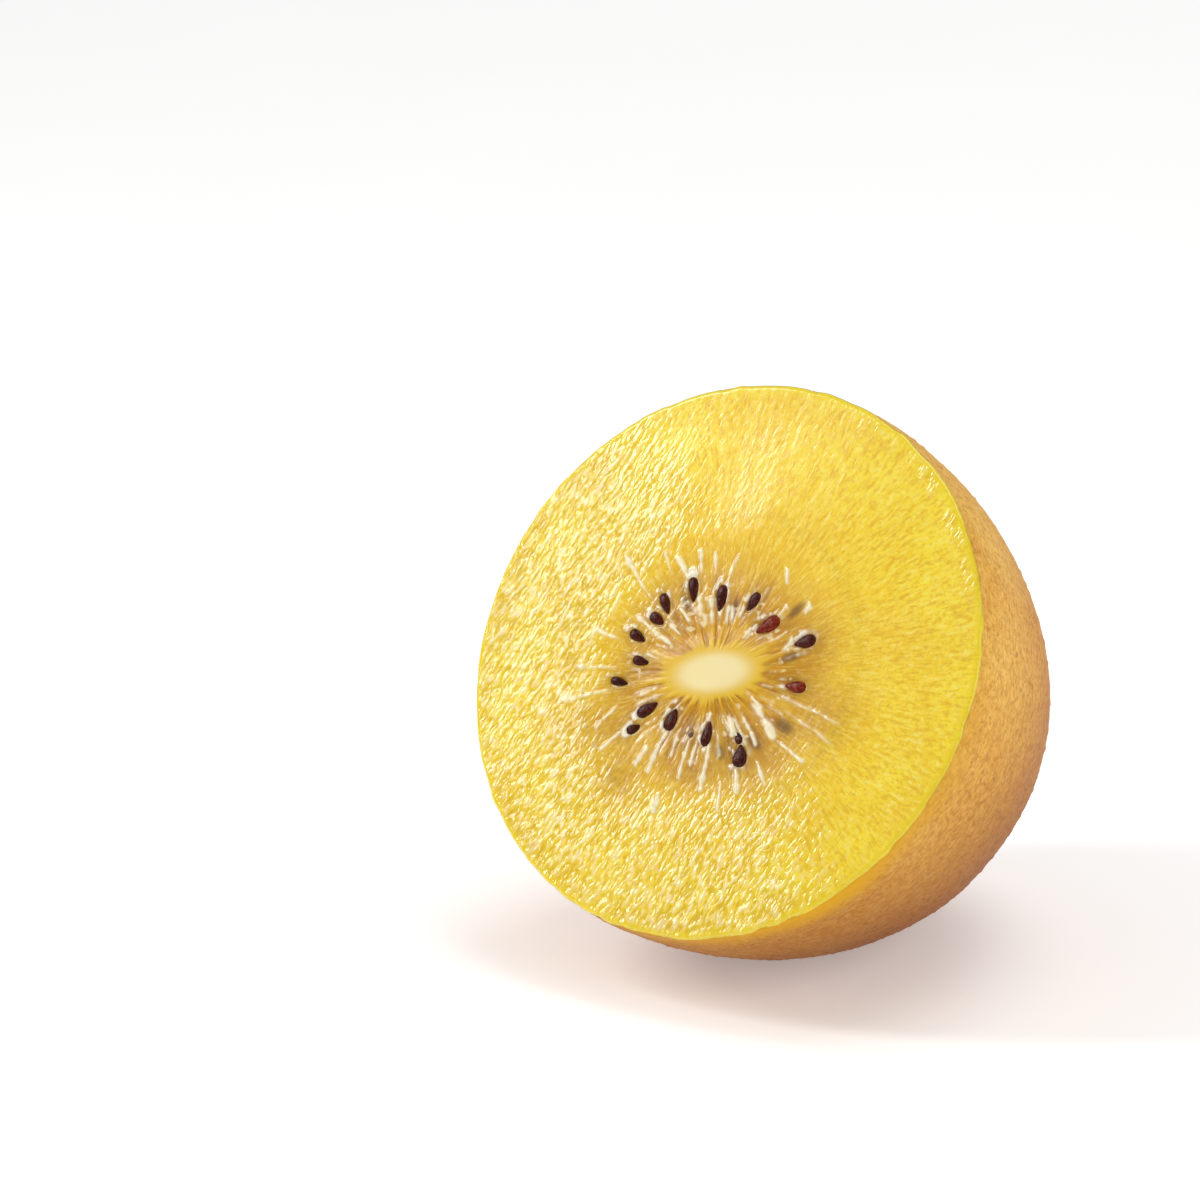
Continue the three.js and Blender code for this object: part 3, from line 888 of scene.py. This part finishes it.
def skin_material():
    """Dry golden brown skin: fine mottling, raised dots, a yellow tinge under the low rim, a corky end,
    painted shade near the floor.
    """
    n = Nodes("skin")
    at = n.own_space()
    wide = n.noise(0.09, 3, 0.55, at)
    mottle = n.noise(0.9, 5, 0.65, at)
    fine = n.noise(3.0, 3, 0.6, at)
    streaks = n.noise(1.0, 4, 0.6, n.mask("wrap", "Vector"))

    colour = n.mix(n.step(wide, 0.3, 0.7), SKIN["base"], SKIN["pale_base"])
    colour = n.layers(
        colour,
        [
            (mottle, 0.40, 0.66, 0.45, SKIN["mottle"]),
            (streaks, 0.50, 0.66, 0.50, SKIN["pale_streak"]),
            (streaks, 0.50, 0.36, 0.40, SKIN["dark_streak"]),
            (fine, 0.50, 0.68, 0.42, SKIN["grain"]),
        ],
    )
    colour = n.mix(n.step(n.mask("axial"), -3, -20, 0, 0.85), colour, SKIN["far_tint"], "MULTIPLY")
    # Painted shade: the skin is darker low down, near the floor.
    colour = n.mix(n.times(n.mask("under"), 0.85), colour, SKIN["floor_shade_tint"], "MULTIPLY")
    colour = n.layers(
        colour,
        [
            (n.noise(2.0, 1, 0.5, at), 0.58, 0.72, 0.34, SKIN["speck"]),
            (n.mask("dot"), 0.2, 0.7, 0.50, SKIN["dot"]),
        ],
    )
    near_rim = n.step(n.math("MULTIPLY_ADD", wide, 3.0, n.mask("from_rim")), 5.0, 1.6)
    colour = n.mix(n.times(near_rim, n.mask("low")), colour, SKIN["near_rim"])
    corky = n.mix(n.step(mottle, 0.35, 0.7), SKIN["cork"], SKIN["dark_cork"])
    corky = n.layers(corky, [(fine, 0.45, 0.68, 0.45, SKIN["cork_grain"])])
    colour = n.mix(n.times(n.mask("cork"), 0.85), colour, corky)

    height = n.math("ADD", n.times(mottle, 0.8), n.times(fine, 0.5))
    return n.surface(
        {
            "Base Color": colour,
            "Normal": n.bump(height, 0.00018, 0.7),
            "Roughness": n.step(fine, 0.3, 0.7, 0.46, 0.62),
            "Specular IOR Level": 0.15,
            "Subsurface Weight": 0.12,
            "Subsurface Radius": (1.0, 0.5, 0.2),
            "Subsurface Scale": 0.0012,
        }
    )


# Dark colour, light colour and roughness of the seeds, and the warm tint of their shine.
SEEDS = {
    "seed_dark": ((32, 8, 5), (92, 30, 18), 0.34),
    "seed_red": ((92, 20, 8), (150, 50, 20), 0.24),
    "seed_sunk": ((92, 66, 48), (128, 98, 72), 0.30),
}
SEED_TINT = (255, 196, 170)


def seed_material(name):
    """A glossy wet seed with a fine darker grain. Each seed is a little lighter or darker than the next."""
    dark, light, roughness = SEEDS[name]
    n = Nodes(name)
    grain = n.noise(4.0, 3, 0.6, n.own_space())
    colour = n.mix(n.step(grain, 0.4, 0.7), dark, light)
    lighter = n.times(n.math("FRACT", n.times(n.mask("own"), 37.0)), 0.3)
    return n.surface(
        {
            "Base Color": n.mix(lighter, colour, light),
            "Normal": n.bump(grain, 0.00006, 0.6),
            "Roughness": n.step(grain, 0.3, 0.7, roughness, roughness + 0.12),
            "Specular IOR Level": 0.06,
            "Specular Tint": rgb(SEED_TINT),
            "Coat Weight": 0.28,
            "Coat IOR": 1.5,
            "Coat Roughness": 0.05,
            "Coat Normal": n.bump(grain, 0.00006, 1.0),
        }
    )


def floor_material():
    """Smooth white paper."""
    n = Nodes("floor")
    grain = n.noise(220.0, 3, 0.6, n.node("TexCoord", "Generated"))
    return n.surface(
        {
            "Base Color": n.mix(grain, (246, 246, 246), (250, 250, 250)),
            "Roughness": 0.85,
            "Emission Color": (1, 1, 1, 1),
            "Emission Strength": FLOOR_GLOW,
            "Normal": n.bump(grain, 0.00005, 0.2),
        }
    )


# The camera, the light and the floor.


def direction(azimuth, elevation):
    """The way to a place seen at an azimuth and elevation in degrees, 0 azimuth being -Y."""
    a, e = math.radians(azimuth), math.radians(elevation)
    return Vector((math.sin(a) * math.cos(e), -math.cos(a) * math.cos(e), math.sin(e)))


def camera(middle):
    """Looks past the middle of the cut face, so that it lies where PICTURE_MIDDLE says."""
    away = direction(VIEW_AZIMUTH, VIEW_ELEVATION)
    right = direction(VIEW_AZIMUTH + 90, 0)
    up = away.cross(right)
    metres_per_pixel = VIEW_DISTANCE * MM / PICTURE_FOCAL_LENGTH
    aside, down = [(c - PICTURE_WIDTH / 2) * metres_per_pixel for c in PICTURE_MIDDLE]
    aim = middle - right * aside + up * down
    data = bpy.data.cameras.new("camera")
    data.sensor_width = SENSOR_WIDTH
    data.lens = PICTURE_FOCAL_LENGTH / PICTURE_WIDTH * SENSOR_WIDTH
    data.clip_start, data.clip_end = 0.05, 10.0
    made = bpy.data.objects.new("camera", data)
    made.location = middle + away * (VIEW_DISTANCE * MM)
    made.rotation_euler = (aim - made.location).to_track_quat("-Z", "Y").to_euler()
    bpy.context.scene.collection.objects.link(made)
    bpy.context.scene.camera = made


def area_light(name, middle, azimuth, elevation, distance, size, power, colour):
    """A soft box that faces the fruit."""
    away = direction(azimuth, elevation)
    data = bpy.data.lights.new(name, "AREA")
    data.shape = "RECTANGLE"
    data.size, data.size_y = size
    data.energy = power
    data.color = colour
    light = bpy.data.objects.new(name, data)
    light.location = middle + away * distance
    light.rotation_euler = away.to_track_quat("Z", "Y").to_euler()
    bpy.context.scene.collection.objects.link(light)


def studio():
    """The camera, the lights, a pale surround and a white floor."""
    middle = Vector(place(np.array([[0, 0, CUT]]))[0])
    camera(middle)
    for name, light in LIGHTS.items():
        area_light(name, middle, *light)
    world = bpy.data.worlds.new("pale")
    bpy.context.scene.world = world
    world.use_nodes = True
    background = world.node_tree.nodes["Background"]
    background.inputs["Color"].default_value = (1, 1, 1, 1)
    background.inputs["Strength"].default_value = WORLD_STRENGTH
    bpy.context.scene.view_settings.view_transform = "Standard"
    mesh = bpy.data.meshes.new("floor")
    far = FLOOR_REACH
    mesh.from_pydata([(-far, -far, 0), (far, -far, 0), (far, far, 0), (-far, far, 0)], [], [(0, 1, 2, 3)])
    mesh.materials.append(floor_material())
    floor = bpy.data.objects.new("floor", mesh)
    bpy.context.scene.collection.objects.link(floor)


studio()
face_pieces(pulp_material())
skin_piece(skin_material())
seed_piece("seeds_dark", DARK_SEEDS, seed_material("seed_dark"))
seed_piece("seeds_red", RED_SEEDS, seed_material("seed_red"))
seed_piece("seeds_sunk", [s for s in SUNK_SEEDS if s[-1] > DEEP_LIFT], seed_material("seed_sunk"))
